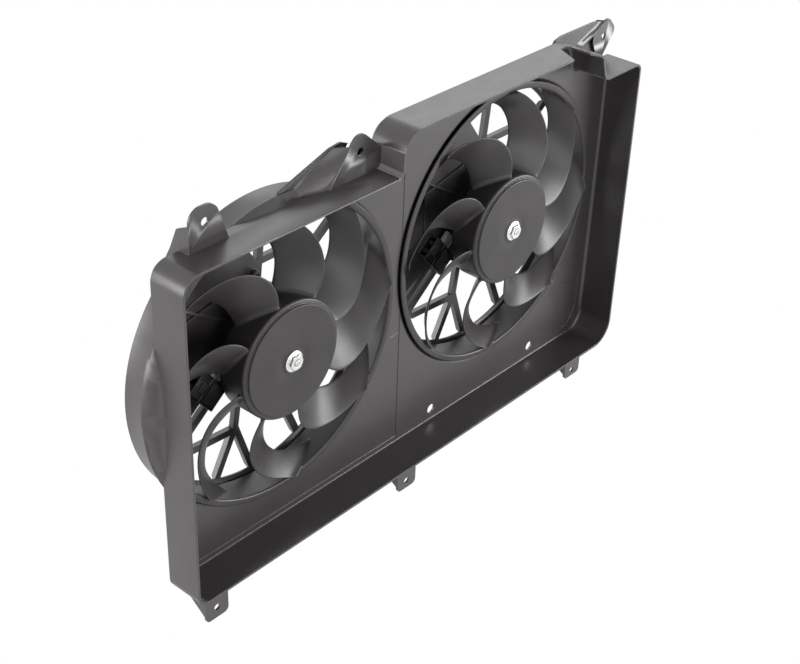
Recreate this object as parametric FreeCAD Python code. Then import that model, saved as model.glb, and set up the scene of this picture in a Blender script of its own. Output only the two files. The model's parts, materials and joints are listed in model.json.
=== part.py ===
import FreeCAD, Part
import math
import os

# Dual radiator fan shroud: a shallow tray clipped behind a car radiator, two banded axial fans on
# sealed brushed motors, each motor held by a strut spider at the rear of its barrel.
# Millimetres, +Z up, +Y rearward (air flow).  Modelled with the front rim's lower left corner as
# zero and moved by TO_ORIGIN on writing.

V = FreeCAD.Vector

# ---- tray -------------------------------------------------------------------------------------
TRAY_W = 720.0          # width over the walls
TOP_LEFT_Z = 388.0      # top of the lower, left half
TOP_RIGHT_Z = 433.0     # top of the taller, right half
SHELF_Z = 389.0         # shelf at the right end
STEP_X = 296.0          # wall between the two heights
WALL = 2.6              # wall and panel thickness
PANEL_Y = 47.5          # front face of the back panel
PANEL_REAR = PANEL_Y + WALL
REAR_BEVEL = 5.4        # outer slope between walls and panel
INNER_BEVEL = 4.2       # the same inside
FLOOR_BEVEL = 1.8       # smaller slope along the inside of the floor

DRAINS = ((415.0, 17.0), (608.0, 18.0))
DRAIN_R = 6.2
SLOTS = (((668, 82), (697, 76)), ((338, 154), (353, 156)))  # thin blind grooves in the panel
SLOT_DEPTH = 1.6

# ---- fan axes and barrels ---------------------------------------------------------------------
AXES = {"left": (162.0, 216.0), "right": (522.4, 228.6)}
HOLE_R = 179.0          # bell mouth where it leaves the panel
MOUTH_R = 7.0           # radius of the bell mouth curve
MOUTH_Y = 47.2
BARREL_R = HOLE_R - MOUTH_R
BARREL_OUT = BARREL_R + WALL
BARREL_END = 80.0
LIP_R = 163.5           # inner edge of the turned-in rear lip
LIP_Y = 87.5

# ---- fan --------------------------------------------------------------------------------------
BLADES = 8
ROOT_PHASE = {"left": 56.73, "right": 47.51}   # root of the first leading edge, from +X towards +Z
HUB_FACE_R = 62.6
HUB_FACE_Y = 24.8
HUB_R = 68.0
HUB_REAR = 62.0
HUB_WALL = 2.6
BAND_IN = 165.8
BAND_OUT = 168.4
BAND_FRONT = 44.5
BAND_REAR = 79.0
FLANGE_R = 174.1
BLADE_T = 2.2
BLADE_ROWS = (0.2, 0.36, 0.52, 0.67, 0.82)  # spans of the rows between root and tip

# ---- motor ------------------------------------------------------------------------------------
SHAFT_R = 4.0
SHAFT_REAR = 97.0
BEARING_BORE = 4.04
CAN_R = 46.0
CAN_WALL = 2.6
CAN_FRONT = 36.0
CAN_REAR = 96.0
ARMATURE_R = 30.0
TEETH = 8
MAGNET_IN = 31.2
COMMUTATOR_R = 10.0
BARS = 16
BRUSH_GAP = 0.3
COVER_T = 2.4           # rear cover of the motor
RING_R = 62.0           # outside of the motor ring of the spider
STRUT_Y = (85.5, 92.0)
RING_Y = (85.5, 96.0)
PLATE_T = 2.0           # closed upper left part of the spider
PLATE_SPAN = (108.0, 207.0)
BOSS_AT = (2.0, 77.0)
SCREW_PCR = 53.7
SCREW_R = 2.0
SCREW_ANGLES = (90.0, 210.0, 330.0)

# ---- mounts -----------------------------------------------------------------------------------
TAB_HOLE_X = (24.0, 319.0, 641.0)
TAB_DROP = (26.0, 23.0, 21.0)
TAB_W = 31.0
TAB_HOLE_Z = -12.5
TAB_HOLE_R = 4.0
EAR_HOLE_Z = 415.0
EAR_HOLE_R = 4.5
EAR_Y = 31.5
RIGHT_EAR_Y = 43.5
EAR_HOLES = {"left": 56.7, "middle": 264.0, "right": 697.7}

TO_ORIGIN = V(-(TAB_HOLE_X[0] + TAB_HOLE_X[2]) / 2.0, 0.0, -TAB_HOLE_Z)


# ---- small helpers ----------------------------------------------------------------------------
def place(plane, a, b, level):
    """A point from two in-plane coordinates: plane 'y' holds (x, z), 'x' holds (y, z), 'z' (x, y)."""
    return {"y": V(a, level, b), "x": V(level, a, b), "z": V(a, b, level)}[plane]


def rounded(corners, level=0.0, plane="y"):
    """Closed wire through (a, b, radius) corners, each rounded by an arc tangent to both sides."""
    n = len(corners)
    starts, ends, mids = [], [], []
    for i, (a, b, radius) in enumerate(corners):
        pa, pb = corners[i - 1][:2], corners[(i + 1) % n][:2]
        u = V(pa[0] - a, pa[1] - b, 0).normalize()
        w = V(pb[0] - a, pb[1] - b, 0).normalize()
        here = V(a, b, 0)
        if radius <= 0:
            starts.append(here), ends.append(here), mids.append(None)
            continue
        half = u.getAngle(w) / 2.0
        reach = radius / math.tan(half)
        middle = (u + w).normalize()
        starts.append(here + u * reach)
        ends.append(here + w * reach)
        mids.append(here + middle * (radius / math.sin(half) - radius))
    at = lambda p: place(plane, p.x, p.y, level)
    edges = []
    for i in range(n):
        if mids[i] is not None:
            edges.append(Part.Arc(at(starts[i]), at(mids[i]), at(ends[i])).toShape())
        after = starts[(i + 1) % n]
        if (after - ends[i]).Length > 1e-6:
            edges.append(Part.makeLine(at(ends[i]), at(after)))
    return Part.Wire(edges)


def prism(corners, start, end, plane="y"):
    """Solid between two levels of the axis normal to the plane."""
    along = {"y": V(0, 1, 0), "x": V(1, 0, 0), "z": V(0, 0, 1)}[plane]
    return Part.Face(rounded(corners, start, plane)).extrude(along * (end - start))


def sharp(points):
    return [(a, b, 0) for a, b in points]


def turned(profile, centre):
    """Solid of revolution about the fan axis through centre from an (r, y) polygon."""
    points = [V(r, y, 0) for r, y in profile]
    face = Part.Face(Part.makePolygon(points + points[:1]))
    solid = face.revolve(V(0, 0, 0), V(0, 1, 0), 360)
    solid.translate(V(centre[0], 0, centre[1]))
    return solid


def disc(centre, radius, start, end):
    return Part.makeCylinder(radius, end - start, V(centre[0], start, centre[1]), V(0, 1, 0))


def ring(centre, inner, outer, start, end):
    return disc(centre, outer, start, end).cut(disc(centre, inner, start - 1, end + 1))


def polar(centre, radius, degrees, y=0.0):
    a = math.radians(degrees)
    return V(centre[0] + radius * math.cos(a), y, centre[1] + radius * math.sin(a))


def bar(centre, p, q, width, start, end):
    """Straight bar of rectangular section between two points given relative to the fan axis."""
    a, b = V(p[0], p[1], 0), V(q[0], q[1], 0)
    along = (b - a).normalize()
    side = V(-along.y, along.x, 0) * (width / 2.0)
    outline = [a + side, b + side, b - side, a - side]
    return prism([(c.x + centre[0], c.y + centre[1], 0) for c in outline], start, end)


def spin(shape, centre, degrees):
    turnedshape = shape.copy()
    turnedshape.rotate(V(centre[0], 0, centre[1]), V(0, -1, 0), degrees)
    return turnedshape


# ---- tray -------------------------------------------------------------------------------------
TRAY_OUTLINE = [
    (0, 0, 14), (TRAY_W, 0, 30), (TRAY_W, SHELF_Z, 10), (648, SHELF_Z, 9), (638, 421, 12),
    (606, TOP_RIGHT_Z, 30), (STEP_X, TOP_RIGHT_Z, 28), (STEP_X - 2, TOP_LEFT_Z, 6), (0, TOP_LEFT_Z, 20),
]


def rear_edges(solid, level):
    return [e for e in solid.Edges if all(abs(v.Point.y - level) < 1e-4 for v in e.Vertexes)]


def tray_block(inset, rear, bevel):
    """Filled tray with sloped rear edges; inset moves the outline inwards."""
    face = Part.Face(rounded(TRAY_OUTLINE, 0.0 if inset == 0 else -1.0))
    if inset:
        face = face.makeOffset2D(-inset)
        face = Part.Face(face.Wires[0]) if face.ShapeType != "Face" else face
    depth = rear - face.BoundBox.YMin
    block = face.extrude(V(0, depth, 0))
    return block.makeChamfer(bevel, rear_edges(block, rear))


def barrel_solid(centre):
    """Flare that leaves the walls, shoulder behind the panel and the plain barrel, all filled."""
    return turned([(0, 33), (162, 33), (181.6, 46), (BARREL_OUT, 57.5), (BARREL_OUT, BARREL_END),
                   (0, BARREL_END)], centre)


def barrel_bore(centre):
    """Inside of the flare, bell mouth in two facets of its curve, and bore."""
    mouth = []
    for turn in (0, 45, 90):
        a = math.radians(turn)
        mouth.append((HOLE_R - MOUTH_R * math.sin(a), MOUTH_Y + MOUTH_R * (1 - math.cos(a))))
    back = BARREL_END + 5
    return turned([(0, 34.7), (160.9, 34.7)] + mouth + [(BARREL_R, back), (0, back)], centre)


def loft_web(front, front_y, rear, rear_y, thick):
    """Ruled web between a thin quad along one line and a thin quad along another further back."""
    def quad(line, y):
        (ax, az), (bx, bz) = line
        across = V(-(bz - az), 0, bx - ax).normalize() * -thick
        a, b = V(ax, y, az), V(bx, y, bz)
        return Part.makePolygon([a, b, b + across, a + across, a])
    return Part.makeLoft([quad(front, front_y), quad(rear, rear_y)], True, True)


def left_ear():
    plate = prism([(36, 386, 0), (38, 432, 15), (70, 432, 16), (86, 386, 0)], EAR_Y, EAR_Y + WALL)
    gusset = prism(sharp([(EAR_Y, 386), (EAR_Y, 417), (48, 409), (58, 386), (69, 366), (76, 336),
                          (PANEL_Y, 336), (PANEL_Y, 386)]), 36.0, 36.0 + WALL, "x")
    return [plate, gusset]


def middle_ear():
    plate = prism([(218, 386, 0), (262, 440, 13), (299, 407, 0), (299, 386, 0)], EAR_Y, EAR_Y + WALL)
    upstand = prism([(160, 380, 0), (166, 399, 0), (236, 422, 0), (252, 424, 6), (280, 412, 0), (299, 407, 0),
                     (299, 380, 0)], PANEL_Y, PANEL_REAR)
    web = loft_web([(218, 386), (250, 425)], EAR_Y, [(166, 392), (238, 422)], PANEL_REAR, 2.2)
    return [plate, upstand, web]


def right_ear():
    plate = prism([(677, 424, 0), (706, 437, 8), (722, 419, 9), (697, 388, 0), (690, 388, 0), (677, 412, 5)],
                  RIGHT_EAR_Y, RIGHT_EAR_Y + WALL)
    upstand = prism([(600, 425, 0), (606, 433, 0), (618, 436, 0), (684, 436, 8), (702, 426, 6),
                     (700, 384, 0), (600, 384, 0)], PANEL_Y, PANEL_REAR)
    web = loft_web([(655, 414), (703, 434)], RIGHT_EAR_Y, [(642, 420), (690, 436)], PANEL_REAR, 2.2)
    link = prism(sharp([(684, 390), (700, 390), (700, 425), (684, 425)]), RIGHT_EAR_Y + 1, PANEL_REAR)
    return [plate, upstand, web, link]


def tab(x, drop):
    half = TAB_W / 2.0
    outline = [(x - half, 1.0, 0), (x + half, 1.0, 0), (x + half, -drop, 6), (x - half, -drop, 6)]
    plate = prism(outline, 0, WALL)
    gusset = prism(sharp([(0, 1.0), (0, -drop + 6), (28, 1.0)]), x - half, x - half + 2.4, "x")
    return [plate, gusset]


def shroud_tray():
    body = tray_block(0, PANEL_REAR, REAR_BEVEL)
    extras = [barrel_solid(c) for c in AXES.values()] + left_ear() + middle_ear() + right_ear()
    for x, drop in zip(TAB_HOLE_X, TAB_DROP):
        extras += tab(x, drop)
    body = body.multiFuse(extras)
    cuts = [tray_block(WALL, PANEL_Y, INNER_BEVEL), floor_crease()] + [barrel_bore(c) for c in AXES.values()]
    cuts += [top_notch(), corner_pocket(), left_relief()]
    cuts += [disc((x, TAB_HOLE_Z), TAB_HOLE_R, -1, WALL + 1) for x in TAB_HOLE_X]
    cuts += [disc((x, EAR_HOLE_Z), EAR_HOLE_R, y - 1, y + 30)
             for x, y in zip(EAR_HOLES.values(), (EAR_Y, EAR_Y, RIGHT_EAR_Y))]
    cuts += [disc((x, z), DRAIN_R, PANEL_Y - 2, PANEL_REAR + 1) for x, z in DRAINS]
    cuts += [prism(slot(*ends), PANEL_Y - 1, PANEL_Y + SLOT_DEPTH) for ends in SLOTS]
    return body.cut(cuts)


def floor_crease():
    """Sharper inner corner between floor and panel than along the other walls."""
    back = PANEL_Y
    corner = [(back - 12, WALL), (back - FLOOR_BEVEL, WALL), (back, WALL + FLOOR_BEVEL),
              (back, 14), (back - 12, 14)]
    return prism(sharp(corner), 18, TRAY_W - 34, "x")


def slot(a, b, width=2.0):
    """Corners of a thin straight slot between two points."""
    along = V(b[0] - a[0], b[1] - a[1], 0).normalize()
    side = V(-along.y, along.x, 0) * (width / 2.0)
    return [(a[0] + side.x, a[1] + side.y, 0), (b[0] + side.x, b[1] + side.y, 0),
            (b[0] - side.x, b[1] - side.y, 0), (a[0] - side.x, a[1] - side.y, 0)]


def top_notch():
    """Open notch in the front edge of the tall top wall, next to the right shoulder."""
    outline = [(577, -2, 0), (592, 30, 5), (606, 30, 6), (609, -2, 0)]
    return prism(outline, TOP_RIGHT_Z - 9, TOP_RIGHT_Z + 2, "z")


def corner_pocket():
    """Shallow step in the panel's lower right corner."""
    outline = [(639, 88), (705, 88), (705, 36), (690, 14), (678, 14)]
    return prism(sharp(outline), PANEL_Y - 1, PANEL_Y + 0.8)


def left_relief():
    """The left half of the panel lies slightly further back than the right half."""
    return prism(sharp([(10, 10), (352, 10), (352, 378), (10, 378)]), PANEL_Y - 1, PANEL_Y + 0.6)


# ---- motor spider -----------------------------------------------------------------------------
STRUTS = [
    ((-44, -36), (-134, -108), 8.5), ((-52, -20), (-146, -96), 8.5),
    ((-104, -98), (-28, -103), 8.0), ((-28, -100), (-60, -160), 8.0), ((-28, -100), (-4, -170), 8.0),
    ((-28, -100), (-20, -52), 8.0), ((20, -52), (66, -158), 9.0),
    ((40, -36), (140, -96), 8.5), ((54, -14), (168, -24), 8.5), ((54, 12), (165, 44), 8.5),
    ((40, 38), (134, 108), 8.5), ((64, 88), (16, 88), 8.0), ((8, 54), (22, 170), 8.0),
    ((-28, 48), (-92, 144), 9.0), ((-52, 18), (-164, 46), 9.0),
]
PLATE_RIBS = [((-38, 40), (-128, 96)), ((-16, 76), (-94, 60)), ((-94, 60), (-92, 8)),
              ((-106, -4), (-166, -10))]
PLATE_INNER = [(-48, -24), (-50, 20), (-25, 48), (-10, 55), (12, 58), (12, 86)]


def strut_envelope(centre):
    """Space in which struts, plate and ribs end inside the lip's wall."""
    return turned([(0, 79.6), (172.2, 79.6), (172.2, 80.3), (166.2, LIP_Y), (161, STRUT_Y[1]),
                   (0, STRUT_Y[1])], centre)


def closed_sector(centre):
    """Plate that closes the spider's upper left part, with thin ribs on its front."""
    y0 = STRUT_Y[0]
    first, last = PLATE_SPAN
    beyond = [polar(centre, BARREL_R + 18, first + (last - first) * i / 4.0) for i in range(5)]
    corners = [(p.x, p.z) for p in beyond] + [(centre[0] + a, centre[1] + b) for a, b in PLATE_INNER]
    plate = prism(sharp(corners), y0, y0 + PLATE_T)
    return [plate] + [bar(centre, p, q, 2.2, y0 - 3.5, y0 + 0.5) for p, q in PLATE_RIBS]


def motor_spider(side):
    centre = AXES[side]
    lip = turned([(LIP_R, 85.4), (BARREL_R, BARREL_END), (BARREL_OUT, BARREL_END), (166.5, LIP_Y),
                  (LIP_R, LIP_Y)], centre)
    struts = [bar(centre, p, q, w, *STRUT_Y) for p, q, w in STRUTS] + closed_sector(centre)
    struts = struts[0].multiFuse(struts[1:]).common(strut_envelope(centre))
    y0, y1 = RING_Y
    hoop = ring(centre, CAN_R, RING_R, y0, y1)
    boss = disc((centre[0] + BOSS_AT[0], centre[1] + BOSS_AT[1]), 6.0, 79.0, STRUT_Y[1])
    spider = struts.cut(disc(centre, CAN_R + 6, 75, 100)).multiFuse([lip, hoop, boss])
    holes = [polar(centre, SCREW_PCR, angle) for angle in SCREW_ANGLES]
    drills = [disc((p.x, p.z), SCREW_R, y0 - 1, y1 + 1) for p in holes]
    drills.append(disc((centre[0] + BOSS_AT[0], centre[1] + BOSS_AT[1]), 2.6, 78, 83))
    return spider.cut(drills)


# ---- fan --------------------------------------------------------------------------------------
def leading_edge(s):
    """Radius, angle from the root (degrees, towards +Z from +X) and y of the leading edge."""
    angle = -21.49 * s + 62.79 * s**2 + 13.39 * s**3 - 15.54 * s**4
    return HUB_FACE_R + 105.4 * s, angle, 32.67 - 10.75 * s + 49.66 * s**2 - 29.29 * s**3


def chord(s):
    """Angle covered by the blade and y of its trailing edge."""
    return max(18.5, 34.0 - 20.5 * s), 60.0 + 6.0 * s


def blade_row(s, flat_r=None):
    """Corners of the aerofoil at span s: trailing edge, mid chord and leading edge on both sides.

    With flat_r the row lies in the plane flat_r from the axis, so that it can close the blade.
    """
    radius, start, y0 = leading_edge(s)
    span, y1 = chord(s)
    arc = math.radians(span) * radius

    def at(v, thick):
        slope = (y1 - y0) * (0.72 + 0.56 * v)
        length = math.hypot(arc, slope)
        y = y0 + (y1 - y0) * (0.72 * v + 0.28 * v * v) - thick * arc / length
        angle = start + span * v + math.degrees(thick * slope / length / radius)
        r = flat_r / math.cos(math.radians(angle - start - span / 2.0)) if flat_r else radius
        return polar((0, 0), r, angle, y)

    stations = ((1.0, 0.3), (0.5, 0.5), (0.0, 0.45))
    front = [at(v, part * BLADE_T) for v, part in stations]
    rear = [at(v, -part * BLADE_T) for v, part in stations]
    return front + rear[::-1]


def blade():
    """One swept sickle blade: a closed shell of flat facets between rows of its aerofoil."""
    rows = [blade_row(0.04, 63.2)] + [blade_row(s) for s in BLADE_ROWS] + [blade_row(0.97, BAND_IN + 0.15)]
    facets = [Part.Face(Part.makePolygon(row + row[:1])) for row in (rows[0], rows[-1])]
    for near, far in zip(rows, rows[1:]):
        for i in range(len(near)):
            for three in ((near[i - 1], near[i], far[i]), (near[i - 1], far[i], far[i - 1])):
                facets.append(Part.Face(Part.makePolygon(list(three) + [three[0]])))
    solid = Part.makeSolid(Part.makeShell(facets))
    if solid.Volume < 0:
        solid.reverse()
    return solid


def fan(side):
    """Hub cup, swept blades and the band that joins their tips."""
    centre = AXES[side]
    origin = (0, 0)
    inner = HUB_R - HUB_WALL
    cup = turned([(SHAFT_R, HUB_FACE_Y), (HUB_FACE_R, HUB_FACE_Y), (64, 26.4), (HUB_R, 31), (HUB_R, HUB_REAR),
                  (inner, HUB_REAR), (inner, 32.4), (62.4, 28.6), (11, 28.6), (11, 33),
                  (SHAFT_R, 33)], origin)
    hollow = turned([(0, 33), (inner, 33), (inner, HUB_REAR + 1), (0, HUB_REAR + 1)], origin)
    band = turned([(BAND_IN, BAND_FRONT), (FLANGE_R, BAND_FRONT), (FLANGE_R, BAND_FRONT + 2.4),
                   (BAND_OUT, BAND_FRONT + 4), (BAND_OUT, BAND_REAR), (BAND_IN, BAND_REAR)], origin)
    one = blade()
    blades = [spin(one, origin, ROOT_PHASE[side] + 360.0 * i / BLADES) for i in range(BLADES)]
    wheel = cup.multiFuse(blades).cut(hollow).fuse(band)
    wheel.translate(V(centre[0], 0, centre[1]))
    return wheel


def fan_nut(side):
    """Flanged hexagon nut on the threaded shaft end."""
    centre = AXES[side]
    corners = [polar(centre, 9.3, 60.0 * i + 30.0) for i in range(6)]
    hexagon = prism([(p.x, p.z, 0) for p in corners], 19.4, 23.4)
    return hexagon.fuse(disc(centre, 12.0, 23.4, HUB_FACE_Y)).cut(disc(centre, SHAFT_R, 10, 40))


def motor_shaft(side):
    return disc(AXES[side], SHAFT_R, 18.2, SHAFT_REAR)


# ---- motor ------------------------------------------------------------------------------------
def motor_can(side):
    """Drawn steel case with its sleeve bearing in the closed front."""
    centre = AXES[side]
    inner = CAN_R - CAN_WALL
    seat = CAN_FRONT + 7
    return turned([(BEARING_BORE, CAN_FRONT), (CAN_R, CAN_FRONT), (CAN_R, CAN_REAR), (inner, CAN_REAR),
                   (inner, CAN_FRONT + CAN_WALL), (10.6, CAN_FRONT + CAN_WALL), (10.6, seat),
                   (BEARING_BORE, seat)], centre)


def magnets(side):
    """Four ground arc magnets bonded inside the case."""
    centre = AXES[side]
    pieces = []
    for i in range(4):
        middle = 90.0 * i
        angles = [middle - 36.0 + 18.0 * k for k in range(5)]
        outer = [polar(centre, CAN_R - CAN_WALL, a) for a in angles]
        inner = [polar(centre, MAGNET_IN, a) for a in angles[::-1]]
        pieces.append(prism([(p.x, p.z, 0) for p in outer + inner], 46, 76))
    return Part.makeCompound(pieces)


def armature(side):
    """Slotted core pressed on the shaft."""
    centre = AXES[side]
    outline = []
    for i in range(TEETH):
        half = [(17.0, 19.0), (26.5, 9.0), (26.5, 19.0), (ARMATURE_R, 19.0)]
        for radius, turn in [(r, -a) for r, a in half] + [(ARMATURE_R, 0.0)] + half[::-1]:
            outline.append(polar(centre, radius, 360.0 * i / TEETH + turn))
    return prism([(p.x, p.z, 0) for p in outline], 50, 71).cut(disc(centre, SHAFT_R, 49, 72))


def windings(side):
    """End turns in front of and behind the core, wound in eight flats."""
    centre = AXES[side]
    ends = []
    for start, end in ((44.6, 50.0), (71.0, 76.4)):
        corners = [[polar(centre, r, 360.0 * (i + 0.5) / TEETH) for i in range(TEETH)] for r in (25.0, 6.0)]
        outer, inner = [prism([(p.x, p.z, 0) for p in c], start, end) for c in corners]
        ends.append(outer.cut(inner))
    return Part.makeCompound(ends)


def commutator(side):
    """Copper bars round the shaft, one flat for each bar."""
    centre = AXES[side]
    corners = [polar(centre, COMMUTATOR_R, 360.0 * i / BARS) for i in range(BARS)]
    return prism([(p.x, p.z, 0) for p in corners], 76.4, 86.0).cut(disc(centre, SHAFT_R, 75, 87))


def brush_card(side):
    """Eight-sided card with two brush holders on its front."""
    centre = AXES[side]
    rim = CAN_R - CAN_WALL
    corners = [[polar(centre, r, 45.0 * i + 22.5) for i in range(8)] for r in (rim, 13.0)]
    outer, inner = [prism([(p.x, p.z, 0) for p in c], 86.6, 88.4) for c in corners]
    holders = []
    for angle in (0.0, 180.0):
        holder = Part.makeBox(17, 9.6, 11, V(centre[0] + 14, 77.0, centre[1] - 5.5))
        cavity = Part.makeBox(19, 7.6, 7.6, V(centre[0] + 13, 79.0, centre[1] - 3.8))
        holders.append(spin(holder.cut(cavity), centre, angle))
    return outer.cut(inner).multiFuse(holders)


def brushes(side):
    centre = AXES[side]
    block = Part.makeBox(17, 7.6, 7.6, V(centre[0] + COMMUTATOR_R - 1, 79.0, centre[1] - 3.8))
    block = block.cut(disc(centre, COMMUTATOR_R + BRUSH_GAP, 70, 95))
    return Part.makeCompound([block, spin(block, centre, 180.0)])


def end_plate(side):
    """Rear cover with the rear bearing cup and three screw ears on the spider's ring."""
    centre = AXES[side]
    face, back = CAN_REAR, CAN_REAR + COVER_T
    plate = disc(centre, CAN_R + 1, face, back)
    cup = disc(centre, 12.0, 90.0, SHAFT_REAR + 3.4)
    ears = [spin(prism(sharp([(centre[0] + 40, centre[1] - 9), (centre[0] + 56, centre[1] - 7),
                              (centre[0] + 59.5, centre[1] - 3), (centre[0] + 59.5, centre[1] + 3),
                              (centre[0] + 56, centre[1] + 7), (centre[0] + 40, centre[1] + 9)]),
                       face, back), centre, angle) for angle in SCREW_ANGLES]
    at = [polar(centre, SCREW_PCR, angle) for angle in SCREW_ANGLES]
    holes = [disc((p.x, p.z), SCREW_R, face - 1, back + 1) for p in at]
    holes.append(disc(centre, BEARING_BORE, 89, SHAFT_REAR + 1.0))
    return plate.multiFuse([cup] + ears).cut(holes)


def motor_screws(side):
    """Three hexagon-head screws."""
    centre = AXES[side]
    head = CAN_REAR + COVER_T
    screws = []
    for angle in SCREW_ANGLES:
        p = polar(centre, SCREW_PCR, angle)
        corners = [polar((p.x, p.z), 4.2, 60.0 * i) for i in range(6)]
        cap = prism([(c.x, c.z, 0) for c in corners], head, head + 2.6)
        screws.append(cap.fuse(disc((p.x, p.z), SCREW_R, RING_Y[0] + 1, head)))
    return Part.makeCompound(screws)


# ---- connector --------------------------------------------------------------------------------
PLUG_TURN = 219.0       # direction outwards along the strut pair
PLUG_AT = (59.0, -30.0)  # inner end of the housing along that direction, and its middle across it
PLUG_LONG = 46.0        # across the struts
PLUG_DEEP = 29.0        # along the struts
PLUG_FRONT = 71.0
PLUG_WALL = 2.0
LOCK = (15.0, 6.0, 16.0)


def connector(side):
    """Two-way plug housing across the strut pair, seated on the plate, open towards the top left."""
    centre = AXES[side]
    along, across = PLUG_AT
    y0, y1 = PLUG_FRONT, STRUT_Y[0]
    low = across - PLUG_LONG / 2.0
    shell = Part.makeBox(PLUG_DEEP, y1 - y0, PLUG_LONG, V(along, y0, low))
    cavity = Part.makeBox(PLUG_DEEP - 2 * PLUG_WALL, y1 - y0 - 2 * PLUG_WALL, 26.0,
                          V(along + PLUG_WALL, y0 + PLUG_WALL, low - 6.0))
    latch = Part.makeBox(12.0, 2.6, 14.0, V(along + 8.5, y0 - 2.6, low + 6.0))
    shape = shell.cut(cavity).fuse(latch)
    shape.translate(V(centre[0], 0, centre[1]))
    return spin(shape, centre, PLUG_TURN)


def connector_lock(side):
    """Pale position-assurance slide at the inner end of the housing."""
    centre = AXES[side]
    length, depth, width = LOCK
    block = Part.makeBox(length, depth, width, V(centre[0] + PLUG_AT[0] - length, PLUG_FRONT + 2.0,
                                                 centre[1] + PLUG_AT[1] - width / 2.0))
    return spin(block, centre, PLUG_TURN)


# ---- writing ----------------------------------------------------------------------------------
PER_SIDE = {
    "motor_spider": motor_spider, "fan": fan, "fan_nut": fan_nut, "motor_shaft": motor_shaft,
    "motor_can": motor_can, "magnets": magnets, "armature": armature, "windings": windings,
    "commutator": commutator, "brush_card": brush_card, "brushes": brushes, "end_plate": end_plate,
    "motor_screws": motor_screws, "connector": connector, "connector_lock": connector_lock,
}


def write(name, shape):
    shape.translate(TO_ORIGIN)
    shape.exportStep("parts/" + name + ".step")


os.makedirs("parts", exist_ok=True)
write("shroud_tray", shroud_tray())
for hand in AXES:
    for piece, make in PER_SIDE.items():
        write(hand + "_" + piece, make(hand))
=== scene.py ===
import json
import math

import bmesh
import bpy
from mathutils import Euler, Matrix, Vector


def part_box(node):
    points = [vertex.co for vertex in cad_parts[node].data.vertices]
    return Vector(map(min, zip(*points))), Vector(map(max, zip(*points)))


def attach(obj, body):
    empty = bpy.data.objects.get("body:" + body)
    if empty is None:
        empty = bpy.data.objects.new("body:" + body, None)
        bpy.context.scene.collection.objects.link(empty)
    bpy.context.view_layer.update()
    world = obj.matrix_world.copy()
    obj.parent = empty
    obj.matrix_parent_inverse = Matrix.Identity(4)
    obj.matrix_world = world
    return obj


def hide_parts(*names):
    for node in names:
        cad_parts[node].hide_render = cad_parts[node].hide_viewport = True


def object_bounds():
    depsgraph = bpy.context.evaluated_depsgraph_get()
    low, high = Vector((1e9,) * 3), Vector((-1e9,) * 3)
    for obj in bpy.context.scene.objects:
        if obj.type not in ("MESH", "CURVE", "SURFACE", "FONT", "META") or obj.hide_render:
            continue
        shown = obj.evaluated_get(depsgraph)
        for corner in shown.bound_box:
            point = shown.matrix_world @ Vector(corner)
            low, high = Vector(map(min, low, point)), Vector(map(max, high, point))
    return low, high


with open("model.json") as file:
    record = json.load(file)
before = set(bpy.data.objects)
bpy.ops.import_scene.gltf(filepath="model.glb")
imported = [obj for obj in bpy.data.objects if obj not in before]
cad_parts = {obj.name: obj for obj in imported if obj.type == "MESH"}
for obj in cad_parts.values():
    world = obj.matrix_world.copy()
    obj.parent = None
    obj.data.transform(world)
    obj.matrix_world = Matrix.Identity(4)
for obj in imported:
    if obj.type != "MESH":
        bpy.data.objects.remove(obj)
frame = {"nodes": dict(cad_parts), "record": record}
cad_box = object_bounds()

MM = 0.001

# ---- camera -----------------------------------------------------------------------------------
CAMERA_AT = (-1.0775, -0.8968, 1.0872)
CAMERA_TURN = (57.556, -1.778, -48.172)     # degrees
LENS_MM = 68.19


def make_camera():
    data = bpy.data.cameras.new("Camera")
    data.lens = LENS_MM
    data.sensor_width = 36.0
    data.clip_end = 50.0
    cam = bpy.data.objects.new("Camera", data)
    cam.location = CAMERA_AT
    cam.rotation_euler = Euler([math.radians(a) for a in CAMERA_TURN], "XYZ")
    bpy.context.scene.collection.objects.link(cam)
    bpy.context.scene.camera = cam


# ---- materials --------------------------------------------------------------------------------
def node(tree, kind, **inputs):
    made = tree.nodes.new(kind)
    for key, value in inputs.items():
        made.inputs[key].default_value = value
    return made


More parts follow.
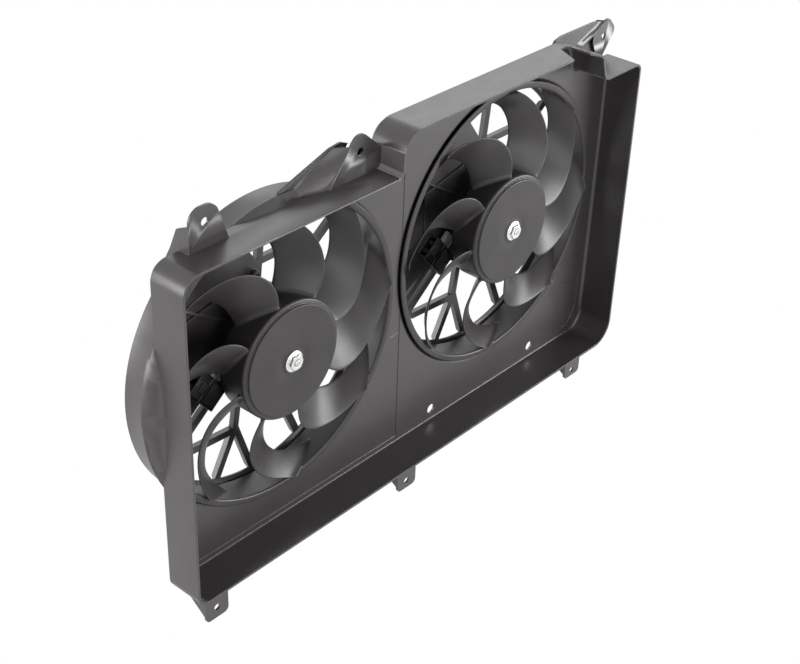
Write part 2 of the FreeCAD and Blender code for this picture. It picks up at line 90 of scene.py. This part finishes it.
def moulded(name, colour, rough=0.4, grain=900.0, bump=0.06, edge=0.6, rim_highlight_and_wear=0.10, mottle=0.25,
            metallic=0.0, edge_mm=0.8, specular=0.5):
    """Procedural finish: fine grain, cloudy colour and gloss, and paler edges that are a painted rim
    highlight as well as wear.
    """
    mat = bpy.data.materials.new(name)
    mat.use_nodes = True
    tree = mat.node_tree
    links = tree.links
    shader = tree.nodes["Principled BSDF"]
    shader.inputs["Metallic"].default_value = metallic
    shader.inputs["Specular IOR Level"].default_value = specular
    coords = tree.nodes.new("ShaderNodeTexCoord")

    cloud = node(tree, "ShaderNodeTexNoise", Scale=14.0, Detail=5.0, Roughness=0.6)
    fine = node(tree, "ShaderNodeTexNoise", Scale=grain, Detail=2.0)
    streak = node(tree, "ShaderNodeTexNoise", Scale=60.0, Detail=3.0)
    for texture in (cloud, fine, streak):
        links.new(coords.outputs["Object"], texture.inputs["Vector"])

    darker = [c * (1 - mottle) for c in colour] + [1]
    lighter = [min(1.0, c * (1 + mottle)) for c in colour] + [1]
    tint = tree.nodes.new("ShaderNodeValToRGB")
    tint.color_ramp.elements[0].position, tint.color_ramp.elements[0].color = 0.3, darker
    tint.color_ramp.elements[1].position, tint.color_ramp.elements[1].color = 0.7, lighter
    links.new(cloud.outputs["Fac"], tint.inputs["Fac"])

    soft = tree.nodes.new("ShaderNodeBevel")
    soft.samples = 4
    soft.inputs["Radius"].default_value = edge_mm * MM
    geometry = tree.nodes.new("ShaderNodeNewGeometry")
    same = tree.nodes.new("ShaderNodeVectorMath")
    same.operation = "DOT_PRODUCT"
    links.new(soft.outputs["Normal"], same.inputs[0])
    links.new(geometry.outputs["Normal"], same.inputs[1])
    # Edges are lifted towards a paler colour: a painted rim highlight, partly also edge wear.
    rim_highlight_mask = tree.nodes.new("ShaderNodeMapRange")
    rim_highlight_mask.inputs["From Min"].default_value = 0.995
    rim_highlight_mask.inputs["From Max"].default_value = 0.80
    links.new(same.outputs["Value"], rim_highlight_mask.inputs["Value"])
    rim_highlight_amount = tree.nodes.new("ShaderNodeMath")
    rim_highlight_amount.operation = "MULTIPLY"
    rim_highlight_amount.inputs[1].default_value = edge
    links.new(rim_highlight_mask.outputs["Result"], rim_highlight_amount.inputs[0])

    mix = tree.nodes.new("ShaderNodeMix")
    mix.data_type = "RGBA"
    mix.inputs["B"].default_value = [min(1.0, c + rim_highlight_and_wear) for c in colour] + [1]
    links.new(rim_highlight_amount.outputs["Value"], mix.inputs["Factor"])
    links.new(tint.outputs["Color"], mix.inputs["A"])
    links.new(mix.outputs["Result"], shader.inputs["Base Color"])

    gloss = tree.nodes.new("ShaderNodeMapRange")
    gloss.inputs["From Min"].default_value = 0.3
    gloss.inputs["From Max"].default_value = 0.7
    gloss.inputs["To Min"].default_value = rough - 0.02
    gloss.inputs["To Max"].default_value = rough + 0.02
    links.new(streak.outputs["Fac"], gloss.inputs["Value"])
    links.new(gloss.outputs["Result"], shader.inputs["Roughness"])

    dents = tree.nodes.new("ShaderNodeBump")
    dents.inputs["Strength"].default_value = bump
    dents.inputs["Distance"].default_value = 0.0004
    links.new(fine.outputs["Fac"], dents.inputs["Height"])
    links.new(soft.outputs["Normal"], dents.inputs["Normal"])
    links.new(dents.outputs["Normal"], shader.inputs["Normal"])
    return mat


# worn sets the paler edge colour: a painted rim highlight that also stands for wear.
FINISHES = {
    "black_nylon": dict(colour=(0.034, 0.030, 0.032), rough=0.36, specular=0.7, mottle=0.12),
    "fan_nylon": dict(colour=(0.028, 0.025, 0.026), rough=0.38, rim_highlight_and_wear=0.18, specular=0.4),
    "zinc_nut": dict(colour=(0.80, 0.80, 0.78), rough=0.25, metallic=0.9, rim_highlight_and_wear=0.1),
    "shaft_steel": dict(colour=(0.62, 0.62, 0.61), rough=0.22, metallic=1.0),
    "can_steel": dict(colour=(0.030, 0.030, 0.033), rough=0.32, grain=500.0),
    "ferrite": dict(colour=(0.10, 0.10, 0.105), rough=0.6),
    "lamination_steel": dict(colour=(0.30, 0.30, 0.31), rough=0.4, metallic=0.8),
    "copper_wire": dict(colour=(0.62, 0.28, 0.14), rough=0.35, metallic=0.9),
    "commutator_copper": dict(colour=(0.75, 0.40, 0.24), rough=0.28, metallic=1.0),
    "brown_phenolic": dict(colour=(0.16, 0.08, 0.04), rough=0.5),
    "carbon": dict(colour=(0.05, 0.05, 0.05), rough=0.7),
    "plate_steel": dict(colour=(0.05, 0.05, 0.053), rough=0.35, metallic=0.2),
    "screw_steel": dict(colour=(0.66, 0.66, 0.64), rough=0.28, metallic=1.0),
    "black_nylon_plug": dict(colour=(0.028, 0.028, 0.030), rough=0.38),
    "pale_lock": dict(colour=(0.50, 0.51, 0.52), rough=0.42),
}


def dress_nodes(materials):
    """Each CAD node that stays gets its slot's finish."""
    for entry in frame["record"]["subparts"]:
        obj = frame["nodes"][entry["node"]]
        obj.data.materials.clear()
        obj.data.materials.append(materials[entry["material_slot"]])


# ---- mesh helpers -----------------------------------------------------------------------------
def add_piece(name, bm, material, body, nodes=(), sharp=32.0):
    bmesh.ops.recalc_face_normals(bm, faces=bm.faces[:])
    mesh = bpy.data.meshes.new(name)
    bm.to_mesh(mesh)
    bm.free()
    mesh.shade_smooth()
    mesh.set_sharp_from_angle(angle=math.radians(sharp))
    mesh.materials.append(material)
    obj = bpy.data.objects.new(name, mesh)
    bpy.context.scene.collection.objects.link(obj)
    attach(obj, body)
    if nodes:
        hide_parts(*nodes)
    return obj


def axis_of(name):
    """Place (x, z) in metres of the axis along Y through the middle of a node's box."""
    low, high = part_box(name)
    return (low[0] + high[0]) / 2, (low[2] + high[2]) / 2


def polar_vert(bm, axis, r, a, y):
    """Vertex at radius r and height y in millimetres and angle a in radians about the axis."""
    return bm.verts.new((axis[0] + r * MM * math.cos(a), y * MM, axis[1] + r * MM * math.sin(a)))


def stitch(bm, loops):
    """Quads between each closed loop and the next."""
    count = len(loops[0])
    for here, after in zip(loops, loops[1:]):
        for j in range(count):
            k = (j + 1) % count
            bm.faces.new((here[j], here[k], after[k], after[j]))


def spun(bm, profile, axis, steps=144):
    """Closed (r, y) profile in millimetres turned about the axis."""
    rings = []
    for i in range(steps):
        a = 2 * math.pi * i / steps
        rings.append([polar_vert(bm, axis, r, a, y) for r, y in profile])
    stitch(bm, rings + rings[:1])


def arc_points(cx, cy, radius, start, end, count=6):
    """Points on an arc in the (r, y) plane, angles in degrees."""
    angles = [math.radians(start + (end - start) * i / count) for i in range(count + 1)]
    return [(cx + radius * math.cos(a), cy + radius * math.sin(a)) for a in angles]


# ---- fan --------------------------------------------------------------------------------------
BLADES = 8
ROOT_PHASE = {"left": 56.73, "right": 47.51}
BLADE_T = 2.4
HUB_R = 68.0
BAND_IN = 165.8
SPAN_FROM = 62.6        # radius where the blade's span parameter is 0
SPAN = 105.4            # millimetres of radius from 0 to 1
CHORD_STATIONS = (0, 0.004, 0.013, 0.028, 0.05, 0.1, 0.18, 0.28, 0.4,
                  0.52, 0.64, 0.76, 0.87, 0.94, 0.975, 0.993, 1)


def leading_edge(s):
    """Angle in degrees and y in millimetres of the nose at span s."""
    angle = -21.49 * s + 62.79 * s**2 + 13.39 * s**3 - 15.54 * s**4
    return angle, 32.67 - 10.75 * s + 49.66 * s**2 - 29.29 * s**3


def chord(s):
    """Angle that the blade spans in degrees, and y of its tail, at span s."""
    wide = 34.0 - 20.5 * s
    narrow = 18.5
    blend = max(0.0, min(1.0, 0.5 + (wide - narrow) / 3.0))
    return narrow + (wide - narrow) * blend, 60.0 + 6.0 * s


def thickness(v, flare):
    """Half thickness along the chord: rounded nose, full body, thin tail."""
    nose = math.sqrt(max(0.0, 1 - (1 - min(v / 0.05, 1.0)) ** 2))
    tail = math.sqrt(max(0.0, 1 - (1 - min((1 - v) / 0.025, 1.0)) ** 2))
    return BLADE_T / 2 * nose * tail * (1.0 - 0.45 * v) + flare * min(nose, tail)


def blade_rows():
    """(radius, fillet flare) of each row, with small fillets into hub and band."""
    rows = [(HUB_R - 1.2, 3.2), (HUB_R + 0.3, 2.0), (HUB_R + 1.2, 1.1), (HUB_R + 2.6, 0.4),
            (HUB_R + 4.5, 0.0)]
    inner, outer = HUB_R + 8.0, BAND_IN - 6.0
    rows += [(inner + (outer - inner) * i / 21, 0.0) for i in range(22)]
    rows += [(BAND_IN - 3.2, 0.0), (BAND_IN - 1.8, 0.4), (BAND_IN - 0.8, 1.0), (BAND_IN - 0.1, 1.8),
             (BAND_IN + 1.0, 2.6)]
    return rows


def add_blade(bm, axis, turn):
    loops = []
    for radius, flare in blade_rows():
        s = (radius - SPAN_FROM) / SPAN
        start, y0 = leading_edge(s)
        span, y1 = chord(s)
        arc = math.radians(span) * radius
        loop = []
        sides = [(v, 1) for v in CHORD_STATIONS] + [(v, -1) for v in CHORD_STATIONS[-2:0:-1]]
        for v, sign in sides:
            slope = (y1 - y0) * (0.72 + 0.56 * v)
            length = math.hypot(arc, slope)
            thick = sign * thickness(v, flare)
            y = y0 + (y1 - y0) * (0.72 * v + 0.28 * v * v) - thick * arc / length
            a = math.radians(turn + start + span * v) + thick * slope / length / radius
            loop.append(polar_vert(bm, axis, radius, a, y))
        loops.append(loop)
    stitch(bm, loops)
    bm.faces.new(loops[0])
    bm.faces.new(loops[-1][::-1])


def hub_profile():
    """Dished face, pin groove, rounded shoulder, deep side and the open rear of the cup."""
    face = [(4.0, 24.9), (13.0, 24.9), (14.2, 25.3), (17.0, 25.3), (18.4, 24.95), (30.0, 24.85),
            (60.8, 24.8)]
    groove = arc_points(61.4, 26.0, 1.2, -90, 0, 4) + [(62.8, 26.9), (64.2, 26.9)]
    shoulder = arc_points(65.0, 30.6, 3.0, -100, 0, 6)
    side = [(HUB_R, 33.4), (HUB_R, 61.4), (67.4, 62.0), (66.0, 62.0)]
    inside = [(65.4, 61.4), (65.4, 33.0), (63.4, 29.4), (60.0, 27.4), (11.0, 27.4), (11.0, 33.0),
              (4.0, 33.0)]
    return face + groove + shoulder + side + inside


def band_profile():
    """Plain cylinder with a rounded lip turned outwards at the front."""
    return ([(BAND_IN, 79.0), (BAND_IN, 47.0)] + arc_points(BAND_IN + 2.6, 46.5, 2.6, 180, 270, 5)
            + [(173.0, 44.1)] + arc_points(173.2, 45.4, 1.0, -80, 60, 4)
            + [(170.4, 46.9), (168.9, 48.0), (168.4, 49.6), (168.4, 78.4), (167.8, 79.0), (166.4, 79.0)])


def make_fan(side, material):
    """Hub, band and blades, turned about the axis that the nut sits on."""
    axis = axis_of(side + "_fan_nut")
    bm = bmesh.new()
    spun(bm, hub_profile(), axis, 160)
    spun(bm, band_profile(), axis, 240)
    for i in range(BLADES):
        add_blade(bm, axis, ROOT_PHASE[side] + 360.0 * i / BLADES)
    return add_piece(side + "_fan_moulding", bm, material, side + "_rotor",
                     [side + "_fan"], 34.0)


# ---- tray -------------------------------------------------------------------------------------
def make_tray(material):
    """The tray's solid with its slopes shaded as rounds; its edges look rounded only in shading, through
    the material's bevel normal.
    """
    source = frame["nodes"]["shroud_tray"]
    bm = bmesh.new()
    bm.from_mesh(source.data)
    bm.transform(source.matrix_world)
    bmesh.ops.remove_doubles(bm, verts=bm.verts[:], dist=2e-6)
    bmesh.ops.dissolve_limit(bm, angle_limit=math.radians(0.6), verts=bm.verts[:], edges=bm.edges[:])
    piece = add_piece("tray_moulding", bm, material, "frame", ["shroud_tray"], 50.0)
    level = piece.modifiers.new("Level", "WEIGHTED_NORMAL")
    level.keep_sharp = True
    return piece


# ---- nut --------------------------------------------------------------------------------------
def make_nut(side, material):
    """Flanged nut with chamfered corners on a threaded stud."""
    axis = axis_of(side + "_fan_nut")
    flange = [(4.2, 24.8), (11.6, 24.8), (12.0, 24.4), (11.9, 23.9), (10.2, 23.1), (8.4, 22.8),
              (4.2, 22.8)]
    bm = bmesh.new()
    spun(bm, flange, axis, 96)
    steps = 72
    bore = 4.3
    rings = []
    for y, out in ((22.9, 1.0), (20.4, 1.0), (19.5, 0.9), (19.4, 0.62)):
        ring = []
        for i in range(steps):
            a = 2 * math.pi * i / steps
            flat = 7.9 / math.cos((a % (math.pi / 3)) - math.pi / 6)
            r = min(flat, 9.0) if out == 1.0 else min(flat, 9.2 * out)
            ring.append(polar_vert(bm, axis, r, a, y))
        rings.append(ring)
    inner = [polar_vert(bm, axis, bore, 2 * math.pi * i / steps, 19.4) for i in range(steps)]
    deep = [bm.verts.new((v.co.x, 24.0 * MM, v.co.z)) for v in inner]
    stitch(bm, rings + [inner, deep])
    return add_piece(side + "_nut", bm, material, side + "_rotor", [side + "_fan_nut"], 28.0)


def make_stud(side, material):
    """Shaft with a threaded, chamfered front end."""
    axis = axis_of(side + "_motor_shaft")
    profile = [(0.01, 18.2), (3.0, 18.2), (3.6, 18.8)]
    y = 19.0
    while y < 27.0:
        profile += [(3.95, y), (3.55, y + 0.35)]
        y += 0.7
    profile += [(4.0, 28.0), (4.0, 96.6), (3.6, 97.0), (0.01, 97.0)]
    bm = bmesh.new()
    spun(bm, profile, axis, 64)
    return add_piece(side + "_stud", bm, material, side + "_rotor",
                     [side + "_motor_shaft"], 40.0)


# ---- connector --------------------------------------------------------------------------------
PLUG_TURN = math.radians(219.0)
PLUG = dict(along=(59.0, 88.0), across=(-53.0, -7.0), y=(71.0, 85.5))


def block(bm, side, along, across, y, bevel=0.5, segments=2):
    """Bevelled block lying along the strut pair: along it, across it and in depth, in millimetres."""
    cx, cz = axis_of(side + "_motor_shaft")
    c, s = math.cos(PLUG_TURN), math.sin(PLUG_TURN)
    corners = []
    for a in along:
        for b in across:
            for d in y:
                corners.append(bm.verts.new((cx + (a * c - b * s) * MM, d * MM, cz + (a * s + b * c) * MM)))
    quads = ((0, 1, 3, 2), (4, 6, 7, 5), (0, 4, 5, 1), (2, 3, 7, 6), (0, 2, 6, 4), (1, 5, 7, 3))
    faces = [bm.faces.new([corners[i] for i in quad]) for quad in quads]
    edges = list({e for f in faces for e in f.edges})
    if bevel:
        bmesh.ops.bevel(bm, geom=edges, offset=bevel * MM, segments=segments, profile=0.6, affect="EDGES",
                        clamp_overlap=True)


def make_connector(side, material):
    """Socket with an open hood, ribs on its solid end, a latch and two pins."""
    (a0, a1), (c0, c1), (y0, y1) = PLUG["along"], PLUG["across"], PLUG["y"]
    wall = 2.0
    bm = bmesh.new()
    block(bm, side, (a0, a1), (c0 + 20, c1), (y0, y1), 1.2, 3)
    for across_wall in ((a0, a0 + wall), (a1 - wall, a1)):
        block(bm, side, across_wall, (c0, c0 + 21), (y0, y1), 0.6)
    for deep_wall in ((y0, y0 + wall), (y1 - wall, y1)):
        block(bm, side, (a0, a1), (c0, c0 + 21), deep_wall, 0.6)
    block(bm, side, (a0, a1), (c0 + 18, c0 + 21), (y0 - 0.9, y1), 0.5)
    for i in range(5):
        at = c0 + 25 + 3.6 * i
        block(bm, side, (a0 + 3, a1 - 3), (at, at + 1.5), (y0 - 0.8, y0 + 1), 0.35)
    block(bm, side, (a0 + 8.5, a0 + 20.5), (c0 + 6, c0 + 18), (y0 - 2.6, y0 - 1.4), 0.4)
    for along_leg in ((a0 + 8.5, a0 + 10.3), (a0 + 18.7, a0 + 20.5)):
        block(bm, side, along_leg, (c0 + 6, c0 + 20), (y0 - 2.4, y0 + 0.5), 0.4)
    block(bm, side, (a0 + 10.5, a0 + 18.5), (c0 + 2, c0 + 17), (y0 - 1.0, y0 + 0.4), 0.5)
    for k in (0.3, 0.7):
        mid = a0 + (a1 - a0) * k
        block(bm, side, (mid - 2.6, mid + 2.6), (c0 + 2, c0 + 21), (y0 + 4.6, y1 - 4.6), 0.4)
    return add_piece(side + "_plug", bm, material, "frame", [side + "_connector"], 40.0)


def make_lock(side, material):
    """Pale slide with two rails and a finger edge at the socket's inner end."""
    (a0, _), (c0, c1), (y0, _) = PLUG["along"], PLUG["across"], PLUG["y"]
    middle = (c0 + c1) / 2
    bm = bmesh.new()
    block(bm, side, (a0 - 15, a0), (middle - 8, middle + 8), (y0 + 3.0, y0 + 8.0), 0.8, 3)
    for edge in (-8, 6.6):
        block(bm, side, (a0 - 15, a0), (middle + edge, middle + edge + 1.4), (y0 + 2.0, y0 + 3.4), 0.4)
    block(bm, side, (a0 - 14.6, a0 - 12.2), (middle - 5, middle + 5), (y0 + 2.1, y0 + 3.4), 0.4)
    return add_piece(side + "_slide", bm, material, "frame", [side + "_connector_lock"], 40.0)


# ---- stage ------------------------------------------------------------------------------------
def white_to(tree, rays):
    """One for the rays that see the background as white: camera, gloss and glass."""
    total = rays.outputs["Is Camera Ray"]
    for kind in ("Is Glossy Ray", "Is Transmission Ray"):
        either = tree.nodes.new("ShaderNodeMath")
        either.operation = "MAXIMUM"
        tree.links.new(total, either.inputs[0])
        tree.links.new(rays.outputs[kind], either.inputs[1])
        total = either.outputs["Value"]
    return total


def make_stage():
    low = cad_box[0]
    mesh = bpy.data.meshes.new("Floor")
    bm = bmesh.new()
    bmesh.ops.create_grid(bm, x_segments=8, y_segments=8, size=30.0)
    bm.to_mesh(mesh)
    bm.free()
    floor = bpy.data.objects.new("Floor", mesh)
    floor.location = (0, 0, low.z - 0.002)
    floor.data.materials.append(floor_material())
    bpy.context.scene.collection.objects.link(floor)


def floor_material():
    mat = bpy.data.materials.new("FloorWhite")
    mat.use_nodes = True
    tree = mat.node_tree
    tree.nodes.clear()
    out = tree.nodes.new("ShaderNodeOutputMaterial")
    plain = node(tree, "ShaderNodeBsdfDiffuse", Color=(0.8, 0.8, 0.8, 1))
    white = node(tree, "ShaderNodeEmission", Strength=1.0)
    rays = tree.nodes.new("ShaderNodeLightPath")
    seen = white_to(tree, rays)
    mix = tree.nodes.new("ShaderNodeMixShader")
    tree.links.new(seen, mix.inputs["Fac"])
    tree.links.new(plain.outputs["BSDF"], mix.inputs[1])
    tree.links.new(white.outputs["Emission"], mix.inputs[2])
    tree.links.new(mix.outputs["Shader"], out.inputs["Surface"])
    return mat


def make_world():
    world = bpy.data.worlds.new("World")
    bpy.context.scene.world = world
    world.use_nodes = True
    tree = world.node_tree
    tree.nodes.clear()
    out = tree.nodes.new("ShaderNodeOutputWorld")
    rays = tree.nodes.new("ShaderNodeLightPath")
    seen = white_to(tree, rays)
    white = node(tree, "ShaderNodeBackground", Color=(1, 1, 1, 1), Strength=1.0)
    dim = node(tree, "ShaderNodeBackground", Color=(1, 1, 1, 1), Strength=0.5)
    mix = tree.nodes.new("ShaderNodeMixShader")
    tree.links.new(seen, mix.inputs["Fac"])
    tree.links.new(dim.outputs["Background"], mix.inputs[1])
    tree.links.new(white.outputs["Background"], mix.inputs[2])
    tree.links.new(mix.outputs["Shader"], out.inputs["Surface"])


def softbox(name, at, target, size, watts):
    data = bpy.data.lights.new(name, "AREA")
    data.shape = "RECTANGLE"
    data.size, data.size_y = size
    data.energy = watts
    lamp = bpy.data.objects.new(name, data)
    lamp.location = at
    lamp.rotation_euler = (Vector(target) - Vector(at)).to_track_quat("-Z", "Y").to_euler()
    bpy.context.scene.collection.objects.link(lamp)


def make_lights():
    centre = (0.03, 0.05, 0.22)
    softbox("Left", (-2.4, 0.9, 0.75), centre, (1.6, 1.3), 66.0)
    softbox("BackRight", (2.1, 1.8, 1.9), centre, (1.6, 1.2), 12.0)
    softbox("Top", (-0.3, 0.0, 2.9), centre, (1.6, 1.6), 14.0)
    softbox("LowRight", (1.9, -1.5, 0.35), (0.1, 0.05, 0.2), (1.6, 0.9), 60.0)
    softbox("Front", (-0.2, -2.4, 0.6), centre, (1.8, 0.8), 18.0)


# ---- build ------------------------------------------------------------------------------------
make_camera()
materials = {name: moulded(name, **look) for name, look in FINISHES.items()}
dress_nodes(materials)
make_tray(materials["black_nylon"])
for side in ("left", "right"):
    make_fan(side, materials["fan_nylon"])
    make_nut(side, materials["zinc_nut"])
    make_stud(side, materials["shaft_steel"])
    make_connector(side, materials["black_nylon_plug"])
    make_lock(side, materials["pale_lock"])
make_stage()
make_world()
make_lights()
bpy.context.scene.view_settings.view_transform = "Standard"
